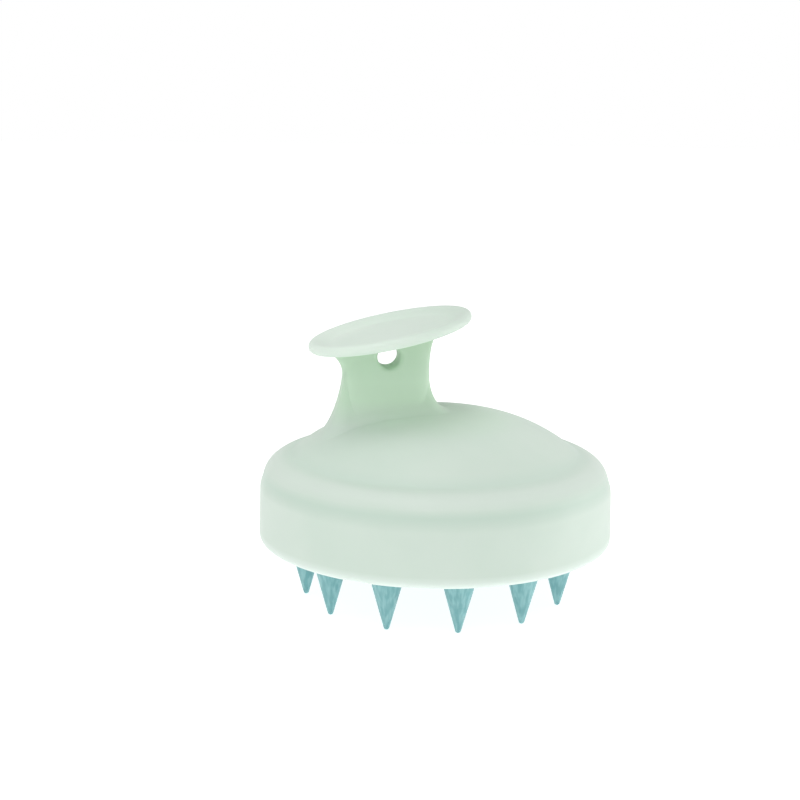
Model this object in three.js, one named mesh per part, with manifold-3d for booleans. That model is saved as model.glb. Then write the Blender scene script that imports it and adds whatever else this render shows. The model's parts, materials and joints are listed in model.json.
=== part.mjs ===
// Hand-held scalp massager brush: a round soft-touch shell with a hooked handle and a tilted
// finger cap, holding a silicone pad with rings of flexible teeth.
// Millimetres, +Z up. The origin is on the body's axis, in the plane of the outer tooth tips.
// The handle's symmetry plane is XZ, with the neck towards -X. The hang hole runs along Y.
import * as THREE from 'three';
import { mergeVertices } from 'three/addons/utils/BufferGeometryUtils.js';
import Module from 'manifold-3d';

const wasm = await Module();
wasm.setup();

// ---- Driving dimensions (mm, degrees) ----

const PART_GAP = 0.3;              // between two pieces that touch on the real object

// Shell: skirt, shoulder and dome, all round the body's axis.
const SKIRT_Z = 13;                // open rim of the skirt above the tooth tips
const BASE_R = 40;                 // outer radius at the rim
const RIM_ROUND = 1.4;             // rounding of the rim's outer edge
const WALL_TOP_R = 39.8;
const WALL_TOP_Z = 24.7;
const SHOULDER_R = 32.8;           // valley where the shoulder meets the dome
const SHOULDER_Z = 32.3;
const SHOULDER_POWER = 0.96;
const DOME_RISE = 9.95;
const DOME_POWER = 2.7;
const WALL = 2.2;
const LEDGE_Z = 21.5;              // inner ledge that the backing plate seats on
const LEDGE_R = 36.6;

// Neck: an upright superellipse section, flared into the dome and under the cap. It gets
// thinner along Y on the way up.
const NECK_X = -11.5;
const NECK_HALF_LENGTH = 9.6;      // along X
const NECK_HALF_WIDTH = [4.6, 3.2];     // along Y, at the foot and at the top
const NECK_TAPER_Z = [42.4, 55.4];
const NECK_POWER = 3.6;
const FLARE_SHARPNESS = 3;         // how closely the end flares keep to the two ends
const LOWER_FLARE = { back: [6.9, 15], front: [5.4, 8], side: [1.8, 1.7] };   // [reach, height]
const UPPER_FLARE = { back: [7, 6.8], front: [2.7, 9], side: [1.6, 3.4] };
const FLARE_EDGE = 72 * Math.PI / 180;      // the upper flare stops here, with a blunt edge
const NECK_HOLLOW_TOP = 49.2;
const HOLE_X = -11.35;
const HOLE_Z = 54.95;
const HOLE_THROAT_R = 2.45;
const HOLE_MOUTH_R = 3;

// Finger cap: a dished disc, rising towards +X. Heights are along the cap's own axis.
const CAP_R = 18.5;
const CAP_X = -10.8;
const CAP_Z = 60.5;
const CAP_TILT = 12.1 * Math.PI / 180;
const CAP_HALF_RIM = 1.15;
const CAP_FLOOR = -0.25;           // top of the dished floor
const CAP_FLOOR_R = 13.2;
const CAP_BELLY = -1.55;           // underside at the middle
const CAP_BELLY_R = 9.5;
const CAP_BELLY_EDGE = 15;
const PEG_R = 1.6;
const PEG_LENGTH = 4.5;
const PEG_PLACES = [-7.4, 5.4];    // along the cap's length, either side of the hang hole

// Insert: backing plate, silicone pad and clamp ring, stacked in the skirt.
const PLATE_R = 37.4;
const PLATE_Z = [19.2, 21.2];
const RIB_COUNT = 6;
const RIB_R = [8, 34];
const RIB_HEIGHT = 2.6;
const RIB_THICKNESS = 1.6;
const PAD_FACE_R = 34.7;
const PAD_FLANGE_R = 37.3;
const PAD_Z = [14.8, 17.2, 18.9];  // face, underside of the flange, back
const CLAMP_R = [35, 37.5];
const CLAMP_Z = [14.4, 16.9];
const BEAD_R = 38;
const BEAD_Z = 15.8;
const GROOVE_R = 38.4;

// Teeth: blunt cones on the pad. Each leans about a point a little below the pad's face.
const TIP_R = 0.65;
const TOOTH_HALF_ANGLE = 15.5 * Math.PI / 180;
const PIVOT_Z = 11.8;
const ROOT_Z = 14.6;               // where the cone ends and the rounded root begins
const ROOT_GAP = 0.4;
const TOOTH_RINGS = [
  { name: 'outer_tooth', count: 12, radius: 29.5, firstAngle: 0, tipZ: 0 },
  { name: 'middle_tooth', count: 12, radius: 18, firstAngle: 15, tipZ: 6 },
  { name: 'inner_tooth', count: 6, radius: 9, firstAngle: 0, tipZ: 6.6 },
  { name: 'centre_tooth', count: 1, radius: 0, firstAngle: 0, tipZ: 6.9 },
];

// Facet counts
const SHELL_SEGMENTS = 64;
const ROUND_SEGMENTS = 48;
const TOOTH_SEGMENTS = 10;

// ---- Materials ----

function finish(color, roughness) {
  return new THREE.MeshStandardMaterial({ color, roughness, metalness: 0 });
}

const MINT = 0xd2e4d9;
const PALE_MINT = 0xdceae1;
const GREY_GREEN = 0xb9cdbf;
const TEAL = 0x8fbbbc;

// ---- Geometry helpers ----

const lerp = THREE.MathUtils.lerp;
const clamp = THREE.MathUtils.clamp;
const smoothstep = THREE.MathUtils.smoothstep;
const point = (r, z) => new THREE.Vector2(r, z);

// A lathe turned so that its axis is Z. The profile runs upwards round the outside.
function turned(profile, segments) {
  return new THREE.LatheGeometry(profile, segments).rotateX(Math.PI / 2);
}

// A closed body through rings of points, listed upwards, each anticlockwise from above.
function lofted(rings) {
  const count = rings[0].length;
  const middle = (ring) => ring
    .reduce((sum, p) => sum.add(p), new THREE.Vector3())
    .divideScalar(count);
  const points = [...rings.flat(), middle(rings[0]), middle(rings.at(-1))];
  const bottom = points.length - 2;
  const top = points.length - 1;
  const last = (rings.length - 1) * count;
  const triangles = [];
  for (let j = 0; j < count; j += 1) {
    const next = (j + 1) % count;
    triangles.push(bottom, next, j, top, last + j, last + next);
    for (let i = 0; i < last; i += count) {
      triangles.push(i + j, i + next, i + count + next);
      triangles.push(i + j, i + count + next, i + count + j);
    }
  }
  const geometry = new THREE.BufferGeometry().setFromPoints(points);
  geometry.setIndex(triangles);
  return geometry;
}

function toSolid(geometry) {
  const bare = geometry.clone();
  bare.deleteAttribute('normal');
  bare.deleteAttribute('uv');
  const merged = mergeVertices(bare, 1e-4);
  const index = merged.index.array;
  const triangles = [];
  for (let i = 0; i < index.length; i += 3) {
    const [a, b, c] = [index[i], index[i + 1], index[i + 2]];
    if (a !== b && b !== c && c !== a) triangles.push(a, b, c);
  }
  return new wasm.Manifold(new wasm.Mesh({
    numProp: 3,
    vertProperties: new Float32Array(merged.attributes.position.array),
    triVerts: new Uint32Array(triangles),
  }));
}

function toGeometry(solid) {
  const mesh = solid.getMesh();
  const geometry = new THREE.BufferGeometry();
  geometry.setAttribute('position', new THREE.BufferAttribute(mesh.vertProperties, 3));
  geometry.setIndex(new THREE.BufferAttribute(mesh.triVerts, 1));
  geometry.computeVertexNormals();
  return geometry;
}

function cut(geometry, tools) {
  return toGeometry(tools.reduce((body, tool) => body.subtract(toSolid(tool)), toSolid(geometry)));
}

function joined(geometry, extras) {
  return toGeometry(extras.reduce((body, extra) => body.add(toSolid(extra)), toSolid(geometry)));
}

// ---- Surfaces that more than one piece follows ----

// Height of the dome at a distance from the body's axis.
function domeZ(r) {
  return SHOULDER_Z + DOME_RISE * (1 - (r / SHOULDER_R) ** DOME_POWER);
}

// Underside of the cap along its own axis, at a distance from its centre.
function capUnderside(r) {
  return lerp(-CAP_HALF_RIM, CAP_BELLY, smoothstep(-r, -CAP_BELLY_EDGE, -CAP_BELLY_R));
}

// Height of the neck's top face, which follows the cap's underside one gap below it.
function neckTopZ(x, y) {
  const along = (x - CAP_X + CAP_BELLY * Math.sin(CAP_TILT)) / Math.cos(CAP_TILT);
  const height = capUnderside(Math.hypot(along, y)) - PART_GAP;
  return CAP_Z + along * Math.sin(CAP_TILT) + height * Math.cos(CAP_TILT);
}

// The neck's section at a height and its outward direction at a parameter angle.
function neckSection(angle, height, inset = 0) {
  const rise = clamp((height - NECK_TAPER_Z[0]) / (NECK_TAPER_Z[1] - NECK_TAPER_Z[0]), 0, 1);
  const halfLength = NECK_HALF_LENGTH - inset;
  const halfWidth = lerp(NECK_HALF_WIDTH[0], NECK_HALF_WIDTH[1], rise) - inset;
  const power = (value, exponent) => Math.sign(value) * Math.abs(value) ** exponent;
  const x = halfLength * power(Math.cos(angle), 2 / NECK_POWER);
  const y = halfWidth * power(Math.sin(angle), 2 / NECK_POWER);
  const out = new THREE.Vector2(
    power(Math.cos(angle), 2 - 2 / NECK_POWER) / halfLength,
    power(Math.sin(angle), 2 - 2 / NECK_POWER) / halfWidth,
  ).normalize();
  return { x: NECK_X + x, y, out, bearing: Math.atan2(y, x) };
}

// Section angles spaced by a mean of the bearing from the neck's middle and the facing
// direction, so that both the neck's corners and the wide dome get enough points.
function neckAngles(count) {
  const turn = (angle) => {
    const { out, bearing } = neckSection(angle, SHOULDER_Z);
    return (bearing + Math.atan2(out.y, out.x)) / 2;
  };
  const solve = (target) => {
    let [low, high] = [0, Math.PI / 2];
    for (let step = 0; step < 40; step += 1) {
      const middle = (low + high) / 2;
      if (turn(middle) < target) low = middle;
      else high = middle;
    }
    return low;
  };
  const quarter = count / 4;
  const angles = [];
  for (let i = 0; i < quarter; i += 1) angles.push(solve(i * Math.PI / 2 / quarter));
  angles[0] = 0;
  const second = angles.map((angle, i) => (i === 0 ? Math.PI / 2 : Math.PI - angles[quarter - i]));
  const half = [...angles, ...second];
  return [...half, ...half.map((angle) => angle + Math.PI)];
}

function flareSize(flare, out) {
  const end = out.x < 0 ? flare.back : flare.front;
  const share = Math.abs(out.x) ** FLARE_SHARPNESS;
  return [lerp(flare.side[0], end[0], share), lerp(flare.side[1], end[1], share)];
}

// One upright line of the shell's outer surface, from the dome's valley up the neck to the
// middle of its top face. The line starts on the valley circle at the given turn.
function neckLine(angle, turn) {
  const section = neckSection(angle, SHOULDER_Z);
  const { out } = section;
  const [lowReach, lowHeight] = flareSize(LOWER_FLARE, out);
  const [highReach, highHeight] = flareSize(UPPER_FLARE, out);
  const footZ = domeZ(Math.hypot(section.x, section.y));
  const topZ = neckTopZ(section.x, section.y);
  const at = (offset, z) => {
    const { x, y } = neckSection(angle, z);
    return new THREE.Vector3(x + out.x * offset, y + out.y * offset, z);
  };
  const reachAt = (reach, share) => reach * (1 - Math.sqrt(1 - clamp(1 - share, 0, 1) ** 2));
  const line = [];

  const foot = at(lowReach, 0);
  const rim = new THREE.Vector3(Math.cos(turn), Math.sin(turn), 0).multiplyScalar(SHOULDER_R);
  for (const share of [0.2, 0.4, 0.6, 0.8]) {
    const p = rim.clone().lerp(foot, share);
    p.z = domeZ(Math.hypot(p.x, p.y));
    line.push(p);
  }

  const splitZ = topZ - highHeight;
  const lowEnd = Math.asin(clamp(1 - (splitZ - footZ - 0.2) / lowHeight, 0, 1));
  for (const share of [0, 0.25, 0.5, 0.75, 1]) {
    const bend = lerp(Math.PI / 2, lowEnd, share);
    const offset = lowReach * (1 - Math.cos(bend));
    const plan = at(offset, 0);
    const rise = lowHeight * (1 - Math.sin(bend));
    line.push(at(offset, domeZ(Math.hypot(plan.x, plan.y)) + rise));
  }

  for (const share of [0, 0.34, 0.67, 1]) {
    const bend = FLARE_EDGE * share;
    const z = topZ - highHeight * (1 - Math.sin(bend));
    const low = reachAt(lowReach, (z - footZ) / lowHeight);
    line.push(at(highReach * (1 - Math.cos(bend)) + low, z));
  }
  const edge = line.at(-1);
  edge.z = Math.min(edge.z, neckTopZ(edge.x, edge.y) - PART_GAP);
  for (const share of [0, 0.35, 0.7]) {
    const p = edge.clone().lerp(new THREE.Vector3(NECK_X, 0, 0), share);
    p.z = neckTopZ(p.x, p.y);
    line.push(p);
  }
  return line;
}

// ---- Shell ----

function shellProfile() {
  const profile = [];
  for (const bend of [0, 45, 90]) {
    const angle = THREE.MathUtils.degToRad(bend);
    profile.push(point(
      BASE_R - RIM_ROUND * (1 - Math.sin(angle)),
      SKIRT_Z + RIM_ROUND * (1 - Math.cos(angle)),
    ));
  }
  for (const bend of [0, 20, 40, 60, 78, 90]) {
    const angle = THREE.MathUtils.degToRad(bend);
    profile.push(point(
      lerp(SHOULDER_R, WALL_TOP_R, Math.max(Math.cos(angle), 0) ** SHOULDER_POWER),
      lerp(WALL_TOP_Z, SHOULDER_Z, Math.sin(angle) ** SHOULDER_POWER),
    ));
  }
  return profile;
}

function shellOutside() {
  const angles = neckAngles(SHELL_SEGMENTS);
  const turns = angles.map((_, i) => i * 2 * Math.PI / SHELL_SEGMENTS);
  const around = (r, z) => turns.map((turn) => (
    new THREE.Vector3(r * Math.cos(turn), r * Math.sin(turn), z)
  ));
  const rings = shellProfile().map(({ x, y }) => around(x, y));
  const lines = angles.map((angle, i) => neckLine(angle, turns[i]));
  lines[0].forEach((_, i) => rings.push(lines.map((line) => line[i])));
  return lofted(rings);
}

function shellCavity() {
  const clearR = BASE_R - WALL;
  const profile = [point(0, SKIRT_Z - 5), point(clearR, SKIRT_Z - 5)];
  profile.push(point(clearR, BEAD_Z - 1), point(GROOVE_R, BEAD_Z - 0.5));
  profile.push(point(GROOVE_R, BEAD_Z + 0.5), point(clearR, BEAD_Z + 1));
  profile.push(point(clearR, LEDGE_Z), point(LEDGE_R, LEDGE_Z), point(LEDGE_R, WALL_TOP_Z));
  for (const share of [0.96, 0.75, 0.5, 0.25, 0]) {
    profile.push(point(SHOULDER_R * share, domeZ(SHOULDER_R * share) - WALL));
  }
  return turned(profile, ROUND_SEGMENTS);
}

function neckHollow() {
  const ring = (z) => Array.from({ length: 24 }, (_, i) => {
    const { x, y } = neckSection(i * Math.PI / 12, z, WALL);
    return new THREE.Vector3(x, y, z);
  });
  return lofted([SHOULDER_Z + WALL, NECK_TAPER_Z[0], NECK_HOLLOW_TOP].map(ring));
}

function hangHole() {
  const half = [[1.2, HOLE_THROAT_R], [2, 2.55], [2.7, 2.75], [3.2, HOLE_MOUTH_R], [9, 3.3]];
  const profile = [point(0, -9)];
  for (const [y, r] of [...half].reverse()) profile.push(point(r, -y));
  for (const [y, r] of half) profile.push(point(r, y));
  profile.push(point(0, 9));
  return new THREE.LatheGeometry(profile, 20).translate(HOLE_X, 0, HOLE_Z);
}

// A round peg or socket on the cap's underside, in the cap's own frame (axis Y).
function capPeg(place, radius, length) {
  const overlap = 1;
  return new THREE.CylinderGeometry(radius, radius, length + overlap, 16)
    .translate(place, CAP_BELLY - length / 2 + overlap / 2, 0);
}

// From the cap's own frame, with Y along its axis, to the row frame.
function ontoCap(geometry) {
  return geometry.rotateX(Math.PI / 2).rotateY(-CAP_TILT).translate(CAP_X, 0, CAP_Z);
}

function handleShell() {
  const sockets = PEG_PLACES.map((place) => (
    ontoCap(capPeg(place, PEG_R + PART_GAP, PEG_LENGTH + PART_GAP))
  ));
  return cut(shellOutside(), [shellCavity(), neckHollow(), hangHole(), ...sockets]);
}

function fingerCap() {
  const profile = [point(0, CAP_BELLY), point(CAP_BELLY_R, CAP_BELLY)];
  profile.push(point((CAP_BELLY_R + CAP_BELLY_EDGE) / 2, (CAP_BELLY - CAP_HALF_RIM) / 2));
  profile.push(point(CAP_BELLY_EDGE, -CAP_HALF_RIM));
  for (const bend of [-90, -45, 0, 45, 90]) {
    const angle = THREE.MathUtils.degToRad(bend);
    profile.push(point(
      CAP_R - CAP_HALF_RIM * (1 - Math.cos(angle)),
      CAP_HALF_RIM * Math.sin(angle),
    ));
  }
  const rimR = CAP_R - CAP_HALF_RIM;
  for (const share of [0.25, 0.5, 0.75, 1]) {
    profile.push(point(
      lerp(rimR, CAP_FLOOR_R, share),
      lerp(CAP_HALF_RIM, CAP_FLOOR, smoothstep(share, 0, 1)),
    ));
  }
  profile.push(point(0, CAP_FLOOR));
  const disc = new THREE.LatheGeometry(profile, ROUND_SEGMENTS);
  return ontoCap(joined(disc, PEG_PLACES.map((place) => capPeg(place, PEG_R, PEG_LENGTH))));
}

// ---- Insert ----

function backingPlate() {
  const [low, high] = PLATE_Z;
  const profile = [point(0, low), point(PLATE_R, low), point(PLATE_R, high), point(0, high)];
  const overlap = 0.5;
  const ribs = Array.from({ length: RIB_COUNT }, (_, i) => (
    new THREE.BoxGeometry(RIB_R[1] - RIB_R[0], RIB_THICKNESS, RIB_HEIGHT + overlap)
      .translate((RIB_R[0] + RIB_R[1]) / 2, 0, high + (RIB_HEIGHT - overlap) / 2)
      .rotateZ((i + 0.5) * 2 * Math.PI / RIB_COUNT)
  ));
  return joined(turned(profile, ROUND_SEGMENTS), ribs);
}

function clampRing() {
  const [inner, outer] = CLAMP_R;
  const [low, high] = CLAMP_Z;
  const profile = [point(inner, low), point(outer, low), point(outer, BEAD_Z - 0.6)];
  profile.push(point(BEAD_R, BEAD_Z), point(outer, BEAD_Z + 0.6));
  profile.push(point(outer, high), point(inner, high), point(inner, low));
  return turned(profile, ROUND_SEGMENTS);
}

// ---- Teeth ----

// Radius of a tooth's cone at a height, for a tip at the given height.
function coneR(tipZ, z) {
  const tangentZ = tipZ + TIP_R * (1 - Math.sin(TOOTH_HALF_ANGLE));
  return TIP_R * Math.cos(TOOTH_HALF_ANGLE) + (z - tangentZ) * Math.tan(TOOTH_HALF_ANGLE);
}

// The root is part of a ball about the pivot, so that it can turn in its socket.
function rootBallR(tipZ) {
  return Math.hypot(coneR(tipZ, ROOT_Z), ROOT_Z - PIVOT_Z);
}

function tooth(tipZ) {
  const profile = [point(0, tipZ)];
  const tipTurn = Math.PI / 2 - TOOTH_HALF_ANGLE;
  for (const share of [0.5, 1]) {
    profile.push(point(
      TIP_R * Math.sin(tipTurn * share),
      tipZ + TIP_R * (1 - Math.cos(tipTurn * share)),
    ));
  }
  const ballR = rootBallR(tipZ);
  const rise = Math.asin((ROOT_Z - PIVOT_Z) / ballR);
  for (const share of [0, 0.33, 0.67, 1]) {
    const angle = lerp(rise, Math.PI / 2, share);
    profile.push(point(share < 1 ? ballR * Math.cos(angle) : 0, PIVOT_Z + ballR * Math.sin(angle)));
  }
  return turned(profile, TOOTH_SEGMENTS);
}

function toothPlaces() {
  return TOOTH_RINGS.flatMap(({ name, count, radius, firstAngle, tipZ }) => (
    Array.from({ length: count }, (_, i) => {
      const angle = THREE.MathUtils.degToRad(firstAngle + i * 360 / count);
      return {
        name: count > 1 ? `${name}_${String(i + 1).padStart(2, '0')}` : name,
        x: radius * Math.cos(angle),
        y: radius * Math.sin(angle),
        tipZ,
      };
    })
  ));
}

function bristlePad() {
  const [face, flange, back] = PAD_Z;
  const profile = [point(0, face), point(PAD_FACE_R, face), point(PAD_FACE_R, flange)];
  profile.push(point(PAD_FLANGE_R, flange), point(PAD_FLANGE_R, back), point(0, back));
  const sockets = toothPlaces().map(({ x, y, tipZ }) => (
    new THREE.SphereGeometry(rootBallR(tipZ) + ROOT_GAP, 12, 8)
      .rotateX(Math.PI / 2)
      .translate(x, y, PIVOT_Z)
  ));
  return cut(turned(profile, ROUND_SEGMENTS), sockets);
}

// ---- Assembly ----

const brush = new THREE.Group();

function addPart(name, geometry, color, roughness) {
  const mesh = new THREE.Mesh(geometry, finish(color, roughness));
  mesh.name = name;
  brush.add(mesh);
  return mesh;
}

addPart('handle_shell', handleShell(), MINT, 0.55);
addPart('finger_cap', fingerCap(), PALE_MINT, 0.55);
addPart('backing_plate', backingPlate(), GREY_GREEN, 0.6);
addPart('clamp_ring', clampRing(), MINT, 0.5);
addPart('bristle_pad', bristlePad(), TEAL, 0.35);
for (const { name, x, y, tipZ } of toothPlaces()) {
  addPart(name, tooth(tipZ), TEAL, 0.3).position.set(x, y, 0);
}

export default brush;
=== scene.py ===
"""Scalp massager brush: the looks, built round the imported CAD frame.

Lengths are millimetres, except those that come from a joint; MM turns them into metres.
The round body stands on its tooth tips at the origin, with the neck towards -X.
"""
import json
import math

import bpy
import numpy as np
from mathutils import Matrix, Vector
from mathutils.bvhtree import BVHTree


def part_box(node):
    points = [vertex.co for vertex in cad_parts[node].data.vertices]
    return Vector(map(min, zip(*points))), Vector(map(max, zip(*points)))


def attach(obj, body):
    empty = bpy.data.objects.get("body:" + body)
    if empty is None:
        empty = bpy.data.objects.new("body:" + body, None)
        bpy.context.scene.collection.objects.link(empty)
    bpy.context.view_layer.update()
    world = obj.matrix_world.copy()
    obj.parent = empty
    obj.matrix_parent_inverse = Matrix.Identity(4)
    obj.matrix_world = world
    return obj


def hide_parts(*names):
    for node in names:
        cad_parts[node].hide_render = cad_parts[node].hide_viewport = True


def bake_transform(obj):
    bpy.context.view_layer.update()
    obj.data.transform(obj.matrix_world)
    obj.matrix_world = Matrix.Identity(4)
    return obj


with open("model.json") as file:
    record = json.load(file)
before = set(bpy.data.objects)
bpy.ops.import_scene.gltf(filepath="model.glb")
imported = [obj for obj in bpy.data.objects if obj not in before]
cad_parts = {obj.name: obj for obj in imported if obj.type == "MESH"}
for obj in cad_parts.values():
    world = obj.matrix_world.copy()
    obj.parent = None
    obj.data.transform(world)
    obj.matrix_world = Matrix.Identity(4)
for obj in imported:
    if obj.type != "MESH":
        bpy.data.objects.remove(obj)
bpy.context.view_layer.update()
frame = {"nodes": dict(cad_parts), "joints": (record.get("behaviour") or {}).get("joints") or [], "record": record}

MM = 0.001


def node_box(node):
    low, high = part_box(node)
    return np.array(low) / MM, np.array(high) / MM


# ---- Sizes: the frame gives the outer ones, the rest shape the surfaces between them ----

SHELL_LOW, SHELL_HIGH = node_box("handle_shell")
CAP_LOW, CAP_HIGH = node_box("finger_cap")
PAD_LOW, PAD_HIGH = node_box("bristle_pad")
CLAMP_LOW, CLAMP_HIGH = node_box("clamp_ring")

BASE_R = SHELL_HIGH[0]
SKIRT_Z = SHELL_LOW[2]
RIM_ROUND = 1.4
WALL_TOP_R, WALL_TOP_Z = 39.8, 24.7
SHOULDER_R, SHOULDER_Z = 32.8, 32.3
SHOULDER_POWER = 0.96
DOME_RISE, DOME_POWER = 9.95, 2.7
VALLEY_SOFTNESS = 0.7              # how far the crease round the dome is smoothed
VALLEY_REACH = (3.0, 6.0)          # all of the smoothing within the first, none past the second
BAND_Z, BAND_DEPTH, BAND_WIDTH = 27.3, 0.26, 1.5   # faint groove where shoulder meets wall
WALL = 2.2
CLEAR_R = BASE_R - WALL
LEDGE_R, LEDGE_Z = 36.6, 21.5
GROOVE_R, GROOVE_Z = 38.4, 15.8
GROOVE_HALF, GROOVE_FLAT = 1.0, 0.5                # half heights at its mouth and its bottom
MOUTH_EDGE = 0.25                  # softened edge where the inside meets the rim
LINK_R = 31.0                      # inside this circle the rings bend towards the neck

NECK_X = -11.5
NECK_LENGTH = 9.6                  # half size along X
NECK_WIDTH = (4.6, 3.2)            # half sizes along Y, at the foot and at the top
NECK_TAPER_Z = (42.4, 55.4)
NECK_POWER = 3.6
FLARE_SHARPNESS = 2.2
LOWER_FLARE = {"back": (6.9, 15), "front": (5.4, 8), "side": (1.8, 1.7)}   # reach, height
UPPER_FLARE = {"back": (7, 6.8), "front": (2.7, 9), "side": (1.6, 3.4)}
FLARE_EDGE = math.radians(72)
FOLD_ANGLE = math.radians(38)      # the flat sides meet the lower flare in a fold
HOLLOW_TOP = 49.2
HOLLOW_ROOF = (0.4, 0.8, 0.96)     # rings across the hollow's roof, as shares of its outline
NECK_CAP_GAP = 0.04
NECK_TOP_EDGE = 0.12               # softened edge of the neck's top face

HOLE_X, HOLE_Z = -11.35, 54.95
HOLE_THROAT, HOLE_R = 2.45, 2.5
HOLE_ROUND_LOW, HOLE_ROUND_TOP = 1.1, 0.45
HOLE_PATCH_SIDE, HOLE_PATCH_LOW = 1.9, 1.7         # how far past the hole its patch of faces goes

CAP_R = (CAP_HIGH[1] - CAP_LOW[1]) / 2
CAP_X, CAP_Z = -10.8, 60.5
CAP_TILT = math.radians(12.1)
CAP_HALF_RIM = 1.15
CAP_FLOOR, CAP_FLOOR_R = -0.25, 13.2
CAP_BELLY, CAP_BELLY_R, CAP_BELLY_EDGE = -1.55, 9.5, 15.0

PAD_FACE_Z, PAD_FLANGE_Z = PAD_LOW[2], 17.2
PAD_FACE_R, PAD_FLANGE_R = 34.7, PAD_HIGH[0]
PAD_FACE_EDGE, PAD_FLANGE_EDGE, PAD_STEP = 0.35, 0.3, 0.15
CLAMP_INNER, CLAMP_OUTER = 35.0, 37.5
CLAMP_EDGE, CLAMP_TOP_EDGE, CLAMP_BEAD_HALF = 0.4, 0.15, 0.6

TIP_R = 0.65
TOOTH_ANGLE = math.radians(15.5)
ROOT_FILLET = 0.65
ROOT_SINK = 0.12

AROUND = 288                       # points round the shell
PROFILE_STEP = 0.15                # spacing of the points up its outside


# ---- Mesh helpers ----

def new_object(name, points, faces, smooth_angle=35):
    mesh = bpy.data.meshes.new(name)
    mesh.from_pydata([tuple(p * MM) for p in points], [], faces)
    mesh.validate()
    mesh.shade_smooth()
    mesh.set_sharp_from_angle(angle=math.radians(smooth_angle))
    obj = bpy.data.objects.new(name, mesh)
    bpy.context.scene.collection.objects.link(obj)
    return obj


def ring_faces(rings, count, skip=()):
    """Quads between rings, with a fan on a centre point at each end of the list."""
    faces = []
    for k in range(rings - 1):
        for j in range(count):
            if (k, j) in skip:
                continue
            a, b = k * count + j, k * count + (j + 1) % count
            faces.append((a, b, b + count, a + count))
    first, last = rings * count, (rings - 1) * count
    for j in range(count):
        nxt = (j + 1) % count
        faces.append((first, nxt, j))
        faces.append((first + 1, last + j, last + nxt))
    return faces


def lathe(name, profile, count=192, closed=False, smooth_angle=35):
    """Turns (radius, height) points about Z. An open profile starts and ends on the axis."""
    profile = np.array(profile, float)
    turn = np.arange(count) * 2 * math.pi / count
    body = profile if closed else profile[1:-1]
    rings = [np.c_[r * np.cos(turn), r * np.sin(turn), np.full(count, z)] for r, z in body]
    points = np.concatenate(rings)
    if closed:
        total = len(points)
        faces = [(a, b, (b + count) % total, (a + count) % total)
                 for k in range(len(body)) for j in range(count)
                 for a, b in [(k * count + j, k * count + (j + 1) % count)]]
    else:
        ends = [[0, 0, profile[0][1]], [0, 0, profile[-1][1]]]
        points = np.concatenate([points, ends])
        faces = ring_faces(len(body), count)
    return new_object(name, points, faces, smooth_angle)


def arc(centre, radius, start, end, steps):
    """Profile points on a circle arc, angles in degrees."""
    angles = np.radians(np.linspace(start, end, steps))
    return [(centre[0] + radius * math.cos(a), centre[1] + radius * math.sin(a)) for a in angles]


def smoothstep(x, low, high):
    t = np.clip((x - low) / (high - low), 0, 1)
    return t * t * (3 - 2 * t)


# ---- Shell ----

def dome_z(r):
    return SHOULDER_Z + DOME_RISE * (1 - (np.abs(r) / SHOULDER_R) ** DOME_POWER)


def outer_profile():
    """(radius, height) up the outside of the shell, from the rim to the apex."""
    spread = np.radians(np.linspace(0, 90, 9))
    rim = np.c_[BASE_R - RIM_ROUND * (1 - np.sin(spread)),
                SKIRT_Z + RIM_ROUND * (1 - np.cos(spread))]
    share = np.linspace(0, 1, 30)[1:-1, None]
    wall = rim[-1] + share * (np.array([WALL_TOP_R, WALL_TOP_Z]) - rim[-1])
    bend = np.radians(np.linspace(0, 90, 60))
    shoulder = np.c_[
        SHOULDER_R + (WALL_TOP_R - SHOULDER_R) * np.maximum(np.cos(bend), 0) ** SHOULDER_POWER,
        WALL_TOP_Z + (SHOULDER_Z - WALL_TOP_Z) * np.sin(bend) ** SHOULDER_POWER]
    radii = np.linspace(SHOULDER_R, 0, 140)[1:]
    dome = np.c_[radii, dome_z(radii)]
    rest = np.concatenate([wall, shoulder, dome])
    length = np.r_[0, np.cumsum(np.hypot(*np.diff(rest, axis=0).T))]
    even = np.arange(0, length[-1], PROFILE_STEP)
    line = np.c_[np.interp(even, length, rest[:, 0]), np.interp(even, length, rest[:, 1])]
    reach = int(3 * VALLEY_SOFTNESS / PROFILE_STEP)
    kernel = np.exp(-0.5 * (np.arange(-reach, reach + 1) * PROFILE_STEP / VALLEY_SOFTNESS) ** 2)
    kernel /= kernel.sum()
    soft = np.c_[np.convolve(line[:, 0], kernel, "same"), np.convolve(line[:, 1], kernel, "same")]
    near = np.hypot(line[:, 0] - SHOULDER_R, line[:, 1] - SHOULDER_Z)
    mix = (1 - smoothstep(near, *VALLEY_REACH))[:, None]
    line = line * (1 - mix) + soft * mix
    band = BAND_DEPTH * np.exp(-((line[:, 1] - BAND_Z) / BAND_WIDTH) ** 2)
    line[:, 0] -= band * (line[:, 0] > SHOULDER_R)
    return rim, line


RIM_LINE, BODY_LINE = outer_profile()


def outer_z(r):
    """Height of the shell's outside at a radius inside the shoulder."""
    inside = BODY_LINE[BODY_LINE[:, 0] < SHOULDER_R + 2][::-1]
    return np.interp(r, inside[:, 0], inside[:, 1])


def signed_power(value, exponent):
    return np.sign(value) * np.abs(value) ** exponent


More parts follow.
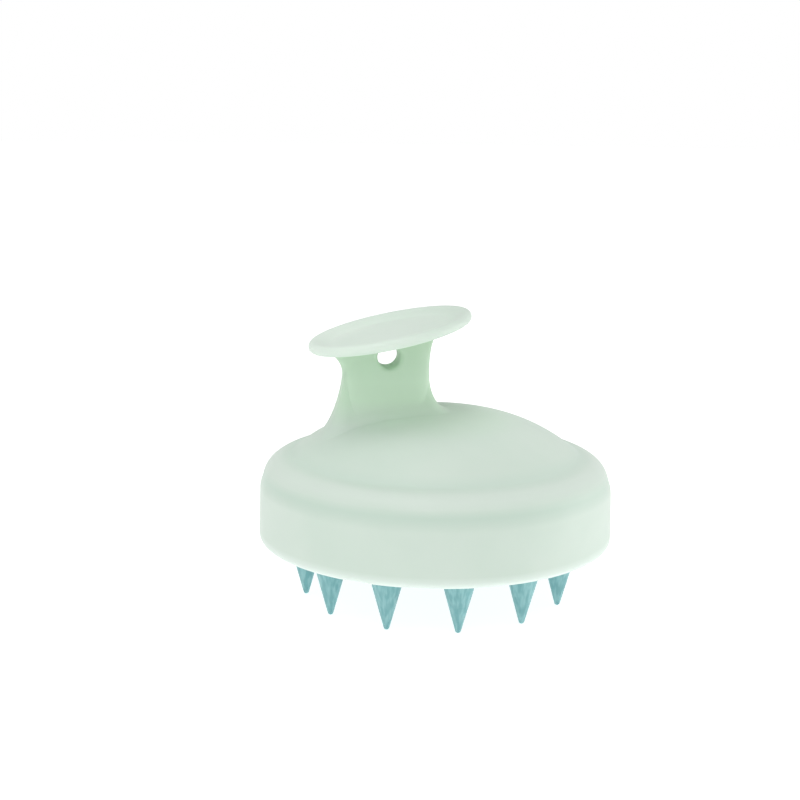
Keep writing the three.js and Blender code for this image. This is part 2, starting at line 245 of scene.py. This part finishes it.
def neck_section(angle, height, inset=0.0):
    """Section points at a height and outward directions, from parameter angles."""
    low, high = NECK_TAPER_Z
    rise = np.clip((height - low) / (high - low), 0, 1)
    length = NECK_LENGTH - inset
    width = NECK_WIDTH[0] + (NECK_WIDTH[1] - NECK_WIDTH[0]) * rise - inset
    x = length * signed_power(np.cos(angle), 2 / NECK_POWER)
    y = width * signed_power(np.sin(angle), 2 / NECK_POWER)
    out = np.c_[signed_power(np.cos(angle), 2 - 2 / NECK_POWER) / length,
                signed_power(np.sin(angle), 2 - 2 / NECK_POWER) / width]
    out /= np.linalg.norm(out, axis=1, keepdims=True)
    return np.c_[NECK_X + x, y], out


def neck_angles(count):
    """Angles spaced by the mean of bearing and facing, so corners and ends both get points."""
    fine = np.linspace(0, math.pi / 2, 20001)
    section, out = neck_section(fine, SHOULDER_Z)
    bearing = np.arctan2(section[:, 1], section[:, 0] - NECK_X)
    turn = (bearing + np.arctan2(out[:, 1], out[:, 0])) / 2
    quarter = count // 4
    first = np.interp(np.arange(quarter) * math.pi / 2 / quarter, turn, fine)
    second = np.r_[math.pi / 2, math.pi - first[:0:-1]]
    half = np.r_[first, second]
    return np.r_[half, half + math.pi]


def cap_underside(r):
    inward = smoothstep(-r, -CAP_BELLY_EDGE, -CAP_BELLY_R)
    return -CAP_HALF_RIM + (CAP_BELLY + CAP_HALF_RIM) * inward


def neck_top_z(x, y):
    along = (x - CAP_X + CAP_BELLY * math.sin(CAP_TILT)) / math.cos(CAP_TILT)
    height = cap_underside(np.hypot(along, y)) - NECK_CAP_GAP
    return CAP_Z + along * math.sin(CAP_TILT) + height * math.cos(CAP_TILT)


def flare_size(flare, out):
    ends = np.where(out[:, :1] < 0, flare["back"], flare["front"])
    share = np.abs(out[:, :1]) ** FLARE_SHARPNESS
    size = np.array(flare["side"]) * (1 - share) + ends * share
    return size[:, 0], size[:, 1]


def circle_ring(turn, r, z):
    return np.c_[r * np.cos(turn), r * np.sin(turn), np.full(len(turn), z)]


def neck_rings(angles, turn):
    """Rings from the link circle up the neck to its top face, and the flare edge's index."""
    section, out = neck_section(angles, SHOULDER_Z)
    low_reach, low_height = flare_size(LOWER_FLARE, out)
    high_reach, high_height = flare_size(UPPER_FLARE, out)
    fold = FOLD_ANGLE * (1 - np.abs(out[:, 0])) ** 0.5
    foot_z = dome_z(np.hypot(*section.T))
    top_z = neck_top_z(*section.T)
    split_z = top_z - high_height
    rings = []

    def at(offset, height):
        return neck_section(angles, height)[0] + out * offset[:, None]

    link = np.c_[LINK_R * np.cos(turn), LINK_R * np.sin(turn)]
    foot = at(low_reach, 0)
    for share in np.linspace(0, 1, 27)[:-1]:
        plan = link + (foot - link) * share
        rings.append(np.c_[plan, outer_z(np.hypot(*plan.T))])

    low_end = np.arcsin(np.clip(1 - (split_z - foot_z - 0.2) / low_height, 0, 1))
    low_end = np.maximum(low_end, fold)
    for share in np.linspace(0, 1, 22):
        bend = math.pi / 2 + (low_end - math.pi / 2) * share
        slope = (np.cos(fold) - np.cos(bend)) / np.cos(fold)
        offset = low_reach * slope
        rise = low_height * (1 - np.sin(bend)) / (1 - np.sin(fold))
        ground = outer_z(np.hypot(*at(offset, 0).T))
        rings.append(np.c_[at(offset, ground + rise), ground + rise])

    def flare_ring(z, high):
        sine = 1 - (1 - np.sin(fold)) * np.clip((z - foot_z) / low_height, 0, 1)
        low = low_reach * (np.cos(fold) - np.sqrt(1 - sine ** 2)) / np.cos(fold)
        return np.c_[at(high + low, z), z]

    last_z = rings[-1][:, 2]
    for share in np.linspace(0, 1, 16)[1:-1]:
        rings.append(flare_ring(last_z + (split_z - last_z) * share, np.zeros(len(angles))))
    for share in np.linspace(0, 1, 30):
        bend = FLARE_EDGE * share
        rings.append(flare_ring(top_z - high_height * (1 - math.sin(bend)),
                                high_reach * (1 - math.cos(bend))))
    edge_index = len(rings) - 1
    edge = rings[-1][:, :2]
    centre = np.array([NECK_X, 0.0])
    inward = centre - edge
    inward /= np.linalg.norm(inward, axis=1, keepdims=True)
    rings.append(np.c_[edge, neck_top_z(*edge.T) - NECK_TOP_EDGE])
    lip = edge + inward * NECK_TOP_EDGE
    rings.append(np.c_[lip, neck_top_z(*lip.T)])
    for share in (0.1, 0.3, 0.5, 0.75):
        plan = lip + (centre - lip) * share
        rings.append(np.c_[plan, neck_top_z(*plan.T)])
    return rings, edge_index


def inside_rings(angles, turn):
    """Rings down the inside of the shell, from the top of the neck's hollow to the rim."""
    centre = np.array([NECK_X, 0.0])
    top = np.full(len(angles), HOLLOW_TOP)
    roof, _ = neck_section(angles, top, WALL)
    rings = [np.c_[centre + (roof - centre) * share, top] for share in HOLLOW_ROOF]
    contour, _ = neck_section(angles, SHOULDER_Z, WALL)
    foot_z = dome_z(np.hypot(*contour.T)) - WALL
    for share in np.linspace(0.04, 1, 8):
        z = top + (foot_z - top) * share
        rings.append(np.c_[neck_section(angles, z, WALL)[0], z])
    inner_r = SHOULDER_R * 0.96
    link = np.c_[inner_r * np.cos(turn), inner_r * np.sin(turn)]
    for share in np.linspace(0, 1, 12)[1:]:
        plan = contour + (link - contour) * share
        rings.append(np.c_[plan, dome_z(np.hypot(*plan.T)) - WALL])
    mouth_mid = 0.07
    steps = [(LEDGE_R, WALL_TOP_Z), (LEDGE_R, LEDGE_Z), (CLEAR_R, LEDGE_Z),
             (CLEAR_R, GROOVE_Z + GROOVE_HALF), (GROOVE_R, GROOVE_Z + GROOVE_FLAT),
             (GROOVE_R, GROOVE_Z - GROOVE_FLAT), (CLEAR_R, GROOVE_Z - GROOVE_HALF),
             (CLEAR_R, SKIRT_Z + MOUTH_EDGE), (CLEAR_R + mouth_mid, SKIRT_Z + mouth_mid),
             (CLEAR_R + MOUTH_EDGE, SKIRT_Z)]
    return rings + [circle_ring(turn, r, z) for r, z in steps]


def hang_hole(points, count, low_ring, high_ring):
    """Cuts the hole through the neck. Returns its points, its faces and the faces to skip."""
    grid = points[:-2].reshape(-1, count, 3)
    tree = BVHTree.FromPolygons([Vector(p) for p in points],
                                ring_faces(len(grid), count), epsilon=0)
    middle = 3 * count // 4
    reach = 1
    while abs(grid[low_ring, middle + reach, 0] - HOLE_X) < HOLE_R + HOLE_PATCH_SIDE:
        reach += 1
    left, right = middle - reach, middle + reach
    loop = [(low_ring, j) for j in range(left, right)]
    loop += [(k, right) for k in range(low_ring, high_ring)]
    loop += [(high_ring, j) for j in range(right, left, -1)]
    loop += [(k, left) for k in range(high_ring, low_ring, -1)]
    skip = {(k, j) for k in range(low_ring, high_ring) for j in range(left, right)}
    skip |= {(k, count - 1 - j) for k, j in skip}

    border = np.array([grid[k, j] for k, j in loop])
    psi = np.arctan2(border[:, 2] - HOLE_Z, border[:, 0] - HOLE_X)
    spoke = np.c_[np.cos(psi), np.sin(psi)]
    upward = smoothstep(spoke[:, 1], 0.1, 0.9)
    rounding = HOLE_ROUND_LOW + (HOLE_ROUND_TOP - HOLE_ROUND_LOW) * upward

    def face_y(plan):
        hits = [tree.ray_cast(Vector((x, -CAP_R, z)), Vector((0, 1, 0)))[0] for x, z in plan]
        return np.array([hit.y for hit in hits])

    centre = np.array([HOLE_X, HOLE_Z])
    mouth = centre + spoke * (HOLE_R + rounding)[:, None]
    loops = []
    for share in np.linspace(0, 1, 9)[1:]:
        plan = border[:, [0, 2]] * (1 - share) + mouth * share
        loops.append(np.c_[plan[:, 0], face_y(plan), plan[:, 1]])
    mouth_y = loops[-1][:, 1]
    for bend in np.radians(np.linspace(0, 90, 9))[1:]:
        radius = HOLE_R + rounding * (1 - math.sin(bend))
        plan = centre + spoke * radius[:, None]
        loops.append(np.c_[plan[:, 0], mouth_y + rounding * (1 - math.cos(bend)), plan[:, 1]])
    start_y = loops[-1][:, 1]
    for share in np.linspace(0, 1, 8)[1:]:
        radius = HOLE_THROAT + (HOLE_R - HOLE_THROAT) * smoothstep(1 - share, 0.25, 1)
        plan = centre + spoke * radius
        loops.append(np.c_[plan[:, 0], start_y * (1 - share), plan[:, 1]])
    loops += [loop_points * [1, -1, 1] for loop_points in loops[-2::-1]]

    size = len(loop)
    base = len(points)
    front_index = [k * count + j for k, j in loop]
    back_index = [k * count + (count - j) % count for k, j in loop]
    rows = [front_index]
    rows += [[base + i * size + m for m in range(size)] for i in range(len(loops))]
    rows.append(back_index)
    faces = [(a[m], a[(m + 1) % size], b[(m + 1) % size], b[m])
             for a, b in zip(rows, rows[1:]) for m in range(size)]
    return np.concatenate(loops), faces, skip


def build_shell():
    angles = neck_angles(AROUND)
    turn = np.arange(AROUND) * 2 * math.pi / AROUND
    inside = inside_rings(angles, turn)
    rim = [circle_ring(turn, r, z) for r, z in RIM_LINE]
    body = BODY_LINE[BODY_LINE[:, 0] > LINK_R + 0.2][2::3]
    wall = [circle_ring(turn, r, z) for r, z in body]
    neck, edge = neck_rings(angles, turn)
    rings = inside + rim + wall + neck
    start = len(inside) + len(rim) + len(wall)
    poles = [[NECK_X, 0, HOLLOW_TOP], [NECK_X, 0, float(neck_top_z(NECK_X, 0.0))]]
    points = np.concatenate(rings + [np.array(poles)])
    front = [ring[3 * AROUND // 4, 2] for ring in neck]
    low = max(k for k in range(edge) if front[k] < HOLE_Z - HOLE_R - HOLE_PATCH_LOW)
    extra, hole_faces, skip = hang_hole(points, AROUND, start + low, start + edge)
    faces = ring_faces(len(rings), AROUND, skip) + hole_faces
    return new_object("shell_moulding", np.concatenate([points, extra]), faces)


# ---- Finger cap ----

def build_cap():
    rim_r = CAP_R - CAP_HALF_RIM
    radii = np.linspace(0, CAP_BELLY_EDGE + 1, 30)
    profile = [(r, float(cap_underside(r))) for r in radii]
    profile += arc((rim_r, 0), CAP_HALF_RIM, -90, 90, 17)
    for share in np.linspace(0, 1, 22)[1:]:
        profile.append((rim_r + (CAP_FLOOR_R - rim_r) * share,
                        CAP_HALF_RIM + (CAP_FLOOR - CAP_HALF_RIM) * float(smoothstep(share, 0, 1))))
    profile += [(CAP_FLOOR_R * share, CAP_FLOOR) for share in (0.9, 0.7, 0.45, 0.2, 0)]
    cap = lathe("cap_moulding", profile)
    tilt = Matrix.Translation(Vector((CAP_X, 0, CAP_Z)) * MM) @ Matrix.Rotation(-CAP_TILT, 4, "Y")
    cap.data.transform(tilt)
    return cap


# ---- Insert ----

def build_pad():
    top = PAD_HIGH[2]
    flat_r = PAD_FACE_R - PAD_FACE_EDGE
    corner_r = PAD_FLANGE_R - PAD_FLANGE_EDGE
    profile = [(0, PAD_FACE_Z)]
    profile += [(r, PAD_FACE_Z) for r in np.linspace(3, flat_r - 0.3, 12)]
    profile += arc((flat_r, PAD_FACE_Z + PAD_FACE_EDGE), PAD_FACE_EDGE, -90, 0, 6)
    profile += [(PAD_FACE_R, PAD_FLANGE_Z - PAD_STEP), (PAD_FACE_R + PAD_STEP, PAD_FLANGE_Z)]
    profile += arc((corner_r, PAD_FLANGE_Z + PAD_FLANGE_EDGE), PAD_FLANGE_EDGE, -90, 0, 5)
    profile += arc((corner_r, top - PAD_FLANGE_EDGE), PAD_FLANGE_EDGE, 0, 90, 5)
    profile += [(PAD_FLANGE_R * share, top) for share in (0.8, 0.4, 0)]
    return lathe("pad_moulding", profile)


def build_clamp():
    low, high = CLAMP_LOW[2], CLAMP_HIGH[2]
    bead = CLAMP_HIGH[0] - CLAMP_OUTER
    profile = arc((CLAMP_INNER + CLAMP_EDGE, low + CLAMP_EDGE), CLAMP_EDGE, 180, 270, 6)
    profile += arc((CLAMP_OUTER - CLAMP_EDGE, low + CLAMP_EDGE), CLAMP_EDGE, 270, 360, 6)
    for share in np.linspace(-1, 1, 9):
        profile.append((CLAMP_OUTER + bead * math.cos(share * math.pi / 2),
                        GROOVE_Z + CLAMP_BEAD_HALF * share))
    profile += [(CLAMP_OUTER, high - CLAMP_TOP_EDGE), (CLAMP_OUTER - CLAMP_TOP_EDGE, high)]
    profile += [(CLAMP_INNER + CLAMP_TOP_EDGE, high), (CLAMP_INNER, high - CLAMP_TOP_EDGE)]
    return lathe("clamp_moulding", profile, closed=True)


def tooth_profile(tip_z):
    """A blunt cone that runs into the pad's face with a small fillet."""
    cone_start = math.pi / 2 - TOOTH_ANGLE
    profile = [(0, tip_z)]
    for a in np.linspace(0, cone_start, 9)[1:]:
        profile.append((TIP_R * math.sin(a), tip_z + TIP_R * (1 - math.cos(a))))
    slope = math.tan(TOOTH_ANGLE)
    r0, z0 = profile[-1]
    back = ROOT_FILLET * math.tan(cone_start / 2)
    end_z = PAD_FACE_Z - back * math.cos(TOOTH_ANGLE)
    for z in np.linspace(z0, end_z, 15)[1:]:
        profile.append((r0 + (z - z0) * slope, z))
    centre_r = r0 + (PAD_FACE_Z - z0) * slope + back
    centre_z = PAD_FACE_Z - ROOT_FILLET
    for a in np.linspace(math.pi - TOOTH_ANGLE, math.pi / 2, 8)[1:]:
        profile.append((centre_r + ROOT_FILLET * math.cos(a), centre_z + ROOT_FILLET * math.sin(a)))
    edge = profile[-1][0]
    profile += [(edge + 0.02, PAD_FACE_Z + ROOT_SINK), (edge * 0.5, PAD_FACE_Z + ROOT_SINK)]
    profile.append((0, PAD_FACE_Z + ROOT_SINK))
    return profile


def build_tooth(node):
    tip_z = node_box(node)[0][2]
    return lathe(node + "_moulding", tooth_profile(tip_z), count=56, smooth_angle=60)


# ---- Materials ----

def to_linear(colour):
    return [((c / 255 + 0.055) / 1.055) ** 2.4 for c in colour]


class Nodes:
    """A short way to write a node material."""

    def __init__(self, name):
        self.material = bpy.data.materials.new(name)
        self.material.use_nodes = True
        self.tree = self.material.node_tree
        self.shader = self.tree.nodes["Principled BSDF"]
        self.place = self.add("ShaderNodeTexCoord").outputs["Object"]

    def add(self, kind, **values):
        node = self.tree.nodes.new(kind)
        for key, value in values.items():
            setattr(node, key, value)
        return node

    def link(self, source, target):
        self.tree.links.new(source, target)

    def noise(self, size_mm, detail, stretch=1.0):
        """Noise with blobs of a given size; stretch makes them longer along Z."""
        scale = self.add("ShaderNodeMapping")
        scale.inputs["Scale"].default_value = (1, 1, 1 / stretch)
        self.link(self.place, scale.inputs["Vector"])
        node = self.add("ShaderNodeTexNoise")
        self.link(scale.outputs["Vector"], node.inputs["Vector"])
        node.inputs["Scale"].default_value = 1 / (size_mm * MM)
        node.inputs["Detail"].default_value = detail
        return node.outputs["Fac"]

    def ramp(self, source, low, high, start=0.3, end=0.7):
        """Maps a 0 to 1 value to a range of values."""
        node = self.add("ShaderNodeMapRange")
        self.link(source, node.inputs["Value"])
        limits = {"From Min": start, "From Max": end, "To Min": low, "To Max": high}
        for key, value in limits.items():
            node.inputs[key].default_value = value
        return node.outputs["Result"]

    def mix(self, fac, first, second):
        """Mixes two colours; the first one can be a socket."""
        node = self.add("ShaderNodeMix", data_type="RGBA")
        self.link(fac, node.inputs[0])
        if isinstance(first, bpy.types.NodeSocket):
            self.link(first, node.inputs[6])
        else:
            node.inputs[6].default_value = (*first, 1)
        node.inputs[7].default_value = (*second, 1)
        return node.outputs[2]

    def bump(self, height, distance_mm, below=None):
        node = self.add("ShaderNodeBump")
        self.link(height, node.inputs["Height"])
        node.inputs["Distance"].default_value = distance_mm * MM
        if below is not None:
            self.link(below, node.inputs["Normal"])
        return node.outputs["Normal"]

    def set(self, **values):
        for key, value in values.items():
            socket = self.shader.inputs[key.replace("_", " ")]
            if isinstance(value, bpy.types.NodeSocket):
                self.link(value, socket)
            else:
                socket.default_value = value


def tinted(n, base, zones):
    """Tints a colour by height. A zone's heights: fading in, full, still full, faded out."""
    split = n.add("ShaderNodeSeparateXYZ")
    n.link(n.place, split.inputs[0])
    height = split.outputs["Z"]
    for tint, (start, full, hold, end) in zones:
        above = n.ramp(height, 0, 1, start * MM, full * MM)
        below = n.ramp(height, 1, 0, hold * MM, end * MM)
        inside = n.add("ShaderNodeMath", operation="MINIMUM")
        n.link(above, inside.inputs[0])
        n.link(below, inside.inputs[1])
        base = n.mix(inside.outputs[0], base, to_linear(tint))
    return base


def soft_touch(name, colour, shade, zones):
    """Matte soft-touch coat: an even pale colour with painted light and shade in bands of height, a fine grain and
    a velvety sheen.
    """
    n = Nodes(name)
    base = n.mix(n.ramp(n.noise(14, 2), 0, 1), to_linear(colour), to_linear(shade))
    n.set(Base_Color=tinted(n, base, zones))
    n.set(Roughness=n.ramp(n.noise(3, 4), 0.50, 0.60))
    grain = n.bump(n.noise(0.22, 2), 0.006)
    n.set(Normal=n.bump(n.noise(6, 2), 0.03, below=grain))
    n.set(Subsurface_Weight=0.12, Subsurface_Radius=(1.0, 1.2, 1.0), Subsurface_Scale=1.2 * MM)
    n.set(Sheen_Weight=0.25, Sheen_Roughness=0.45, Sheen_Tint=(0.95, 1.0, 0.96, 1))
    n.set(Specular_IOR_Level=0.42)
    return n.material


def silicone(name, colour, shade, streak_mm, stretch, zones=()):
    """Glossy translucent silicone with faint streaks of painted highlight and shade in its colour, which a stretch
    runs up and down; unstretched, they are a faint mottle.
    """
    n = Nodes(name)
    # painted highlight: light and dark streaks in the colour stand in for reflections
    highlight_streaks_and_mottle = n.ramp(n.noise(streak_mm, 1, stretch=stretch), 0, 1, 0.35, 0.6)
    base = n.mix(highlight_streaks_and_mottle, to_linear(colour), to_linear(shade))
    n.set(Base_Color=tinted(n, base, zones))
    n.set(Roughness=n.ramp(n.noise(2.5, 4), 0.26, 0.36))
    fine = n.bump(n.noise(0.3, 2), 0.002)
    n.set(Normal=n.bump(n.noise(0.9, 2, stretch=6), 0.016, below=fine))
    n.set(Subsurface_Weight=0.15, Subsurface_Radius=(0.7, 1.3, 1.4), Subsurface_Scale=1.2 * MM)
    n.set(Coat_Weight=0.03, Coat_Roughness=0.15, Specular_IOR_Level=0.2)
    return n.material


def plain_plastic(name, colour, shade):
    """Uncoated moulded plastic with flow marks, for the piece hidden in the shell."""
    n = Nodes(name)
    colour, shade = to_linear(colour), to_linear(shade)
    n.set(Base_Color=n.mix(n.ramp(n.noise(9, 3), 0, 1), colour, shade))
    n.set(Roughness=n.ramp(n.noise(1.5, 4), 0.38, 0.52))
    n.set(Normal=n.bump(n.noise(0.5, 3), 0.01))
    return n.material


def dress(obj, material):
    obj.data.materials.clear()
    obj.data.materials.append(material)


# ---- Stage, light and camera ----

FLOOR_R, FLOOR_SIDES = 4000, 96
FLOOR_GLOW = 0.85
ROOM_LIGHT = 0.5
LIGHT_AIM = (0, 0, 30)
LIGHTS = {                         # place, size and power in watts
    "side_right": ((500, -20, 12), (300, 150), 1.05),
    "side_left": ((-450, -100, 300), (200, 200), 0.12),
    "key": ((-110, -370, 490), (260, 260), 0.58),
    "top": ((-90, -50, 570), (300, 300), 0.85),
    "back": ((0, 400, 400), (300, 200), 0.15),
}
CAMERA_PLACE = (-58.78, -317.01, 109.33)
CAMERA_HEADING, CAMERA_DIP, CAMERA_ROLL = 9.043, 11.390, 0.651    # degrees
CAMERA_LENS = 65.52


def build_stage():
    """A pale floor, lit a little from within like a light table. It is see-through from below."""
    turn = np.arange(FLOOR_SIDES) * 2 * math.pi / FLOOR_SIDES
    points = np.concatenate([circle_ring(turn, FLOOR_R, 0), [[0, 0, 0]]])
    faces = [(FLOOR_SIDES, j, (j + 1) % FLOOR_SIDES) for j in range(FLOOR_SIDES)]
    floor = new_object("pale_floor", points, faces)
    n = Nodes("floor_paint")
    n.set(Base_Color=(0.45, 0.45, 0.45, 1), Roughness=0.9)
    n.set(Emission_Color=(1, 1, 1, 1), Emission_Strength=FLOOR_GLOW)
    geometry = n.add("ShaderNodeNewGeometry")
    clear = n.add("ShaderNodeBsdfTransparent")
    mix = n.add("ShaderNodeMixShader")
    n.link(geometry.outputs["Backfacing"], mix.inputs[0])
    n.link(n.shader.outputs[0], mix.inputs[1])
    n.link(clear.outputs[0], mix.inputs[2])
    n.link(mix.outputs[0], n.tree.nodes["Material Output"].inputs["Surface"])
    dress(floor, n.material)


def add_light(name, place_mm, size_mm, power):
    light = bpy.data.lights.new(name, "AREA")
    light.shape = "RECTANGLE"
    light.size, light.size_y = size_mm[0] * MM, size_mm[1] * MM
    light.energy = power
    obj = bpy.data.objects.new(name, light)
    obj.location = Vector(place_mm) * MM
    aim = Vector(LIGHT_AIM) - Vector(place_mm)
    obj.rotation_euler = aim.to_track_quat("-Z", "Y").to_euler()
    bpy.context.scene.collection.objects.link(obj)


def build_world():
    """A soft white room: seen directly it is paper white, as a light it is a little dimmer."""
    world = bpy.data.worlds.new("studio")
    world.use_nodes = True
    tree = world.node_tree
    path = tree.nodes.new("ShaderNodeLightPath")
    strength = tree.nodes.new("ShaderNodeMapRange")
    strength.inputs["To Min"].default_value = ROOM_LIGHT
    strength.inputs["To Max"].default_value = 1.0
    tree.links.new(path.outputs["Is Camera Ray"], strength.inputs["Value"])
    background = tree.nodes["Background"]
    background.inputs["Color"].default_value = (1, 1, 1, 1)
    tree.links.new(strength.outputs["Result"], background.inputs["Strength"])
    bpy.context.scene.world = world
    bpy.context.scene.view_settings.view_transform = "Standard"


def build_camera():
    camera = bpy.data.cameras.new("camera")
    camera.lens = CAMERA_LENS
    camera.sensor_width = 36
    camera.clip_start, camera.clip_end = 0.01, 20
    obj = bpy.data.objects.new("camera", camera)
    heading, dip, roll = (math.radians(a) for a in (CAMERA_HEADING, CAMERA_DIP, CAMERA_ROLL))
    forward = Vector((math.sin(heading) * math.cos(dip),
                      math.cos(heading) * math.cos(dip),
                      -math.sin(dip)))
    right = forward.cross(Vector((0, 0, 1))).normalized()
    up = right.cross(forward)
    x_axis = right * math.cos(roll) + up * math.sin(roll)
    y_axis = up * math.cos(roll) - right * math.sin(roll)
    basis = Matrix((x_axis, y_axis, -forward)).transposed()
    obj.matrix_world = Matrix.Translation(Vector(CAMERA_PLACE) * MM) @ basis.to_4x4()
    bpy.context.scene.collection.objects.link(obj)
    bpy.context.scene.camera = obj


# ---- Assembly ----

# Painted light and shade: bands of height on the shell are made lighter or darker where light and shade fall
PAINTED_LIGHT_AND_SHADE_ZONES = [
    ((228, 240, 233), (12.0, 13.0, 13.6, 15.6)),      # painted highlight at the rim, where floor light falls
    ((197, 216, 203), (25.0, 27.5, 27.9, 29.4)),      # painted shade in the band
    ((213, 226, 216), (29.0, 30.6, 31.6, 32.3)),      # painted highlight on the ridge
    ((204, 221, 209), (31.9, 32.5, 32.9, 34.6)),      # painted shade at the foot of the dome
    ((205, 231, 206), (39.5, 45.5, 70.0, 71.0)),      # painted shade on the neck, greener like light bounced off the green faces
    ((188, 214, 188), (49.5, 57.5, 70.0, 71.0)),      # painted shade, deepest under the cap
]
MINT = soft_touch("mint_soft_touch", (210, 224, 213), (205, 221, 209), PAINTED_LIGHT_AND_SHADE_ZONES)
CAP_PAINTED_SHADE_ZONES = [((208, 223, 211), (59.0, 65.0, 70.0, 71.0))]    # painted shade, darker at the raised end
MINT_CAP = soft_touch("mint_cap_soft_touch", (222, 235, 224), (218, 233, 221), CAP_PAINTED_SHADE_ZONES)
ROOT_ZONES = [((136, 186, 189), (PAD_FACE_Z - 2.2, PAD_FACE_Z - 0.5, 70.0, 71.0))]
# the teeth carry painted highlight streaks, light and dark teal running up and down
TEAL_TEETH = silicone("teal_silicone_teeth", (150, 197, 199), (126, 178, 181), 0.7, 24, ROOT_ZONES)
TEAL_PAD = silicone("teal_silicone_pad", (139, 188, 191), (133, 184, 187), 9, 1)
INNER = plain_plastic("inner_plastic", (186, 205, 193), (178, 198, 186))

ROOT = next(body for body, nodes in frame["record"]["behaviour"]["bodies"].items()
            if "handle_shell" in nodes)


def place(piece, node, material):
    dress(piece, material)
    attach(piece, ROOT)
    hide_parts(node)


place(build_shell(), "handle_shell", MINT)
place(build_cap(), "finger_cap", MINT_CAP)
place(build_pad(), "bristle_pad", TEAL_PAD)
place(build_clamp(), "clamp_ring", MINT)
dress(frame["nodes"]["backing_plate"], INNER)

for joint in frame["joints"]:
    body = joint["child"]
    tooth = build_tooth(body)
    x, y, z = joint["pos_m"]
    tooth.data.transform(Matrix.Translation((x, y, 0)))
    dress(tooth, TEAL_TEETH)
    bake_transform(tooth)
    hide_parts(body)

build_stage()
build_world()
for light_name, light_values in LIGHTS.items():
    add_light(light_name, *light_values)
build_camera()
